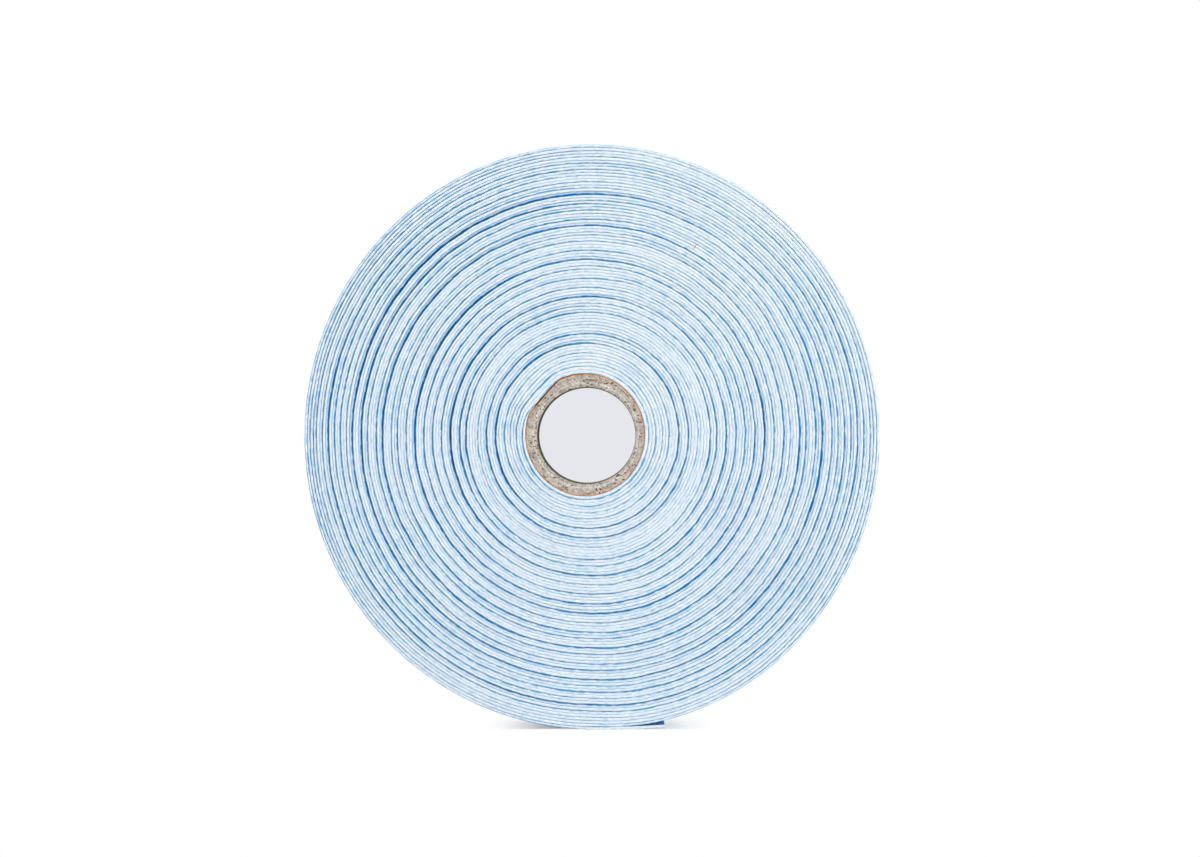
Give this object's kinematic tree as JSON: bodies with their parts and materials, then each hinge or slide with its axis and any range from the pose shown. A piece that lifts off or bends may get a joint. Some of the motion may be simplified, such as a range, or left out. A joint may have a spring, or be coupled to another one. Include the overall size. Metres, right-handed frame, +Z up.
{
  "type": "grip tape roll",
  "caption": "Wide reel of pale blue woven cotton grip tape wound edge to edge on a plain paper-tube core, with a free end that peels away from the roll.",
  "frame": {"origin": "centre of the core's bore, at half the width of the tape", "axes": "+Y along the bore towards the rear face, +X to the right of the front face, +Z up with the roll standing on its rim"},
  "size_m": [0.1491, 0.03, 0.1496],
  "materials": {
    "liner_paper": "smooth grey-green paper",
    "chipboard": "raw cut grey-beige chipboard with fibres and specks",
    "kraft_paper": "plain brown kraft paper",
    "adhesive": "thin double-sided adhesive film",
    "grip_tape": "soft matt woven cotton"
  },
  "bodies": {
    "roll": {"core_liner": "liner_paper", "core_board_ply_1": "chipboard", "core_board_ply_2": "chipboard", "core_board_ply_3": "chipboard", "core_board_ply_4": "chipboard", "core_board_ply_5": "chipboard", "core_kraft_wrap": "kraft_paper", "starter_strip": "adhesive", "wound_tape": "grip_tape"},
    "tape_end": {"free_end": "grip_tape"}
  },
  "joints": [
    {"name": "tail_peel", "type": "hinge", "parent": "roll", "child": "tape_end", "pos_m": [0.0055, 0, -0.07555], "axis": [0, 1, 0], "range_deg": [0, 100]}
  ]
}
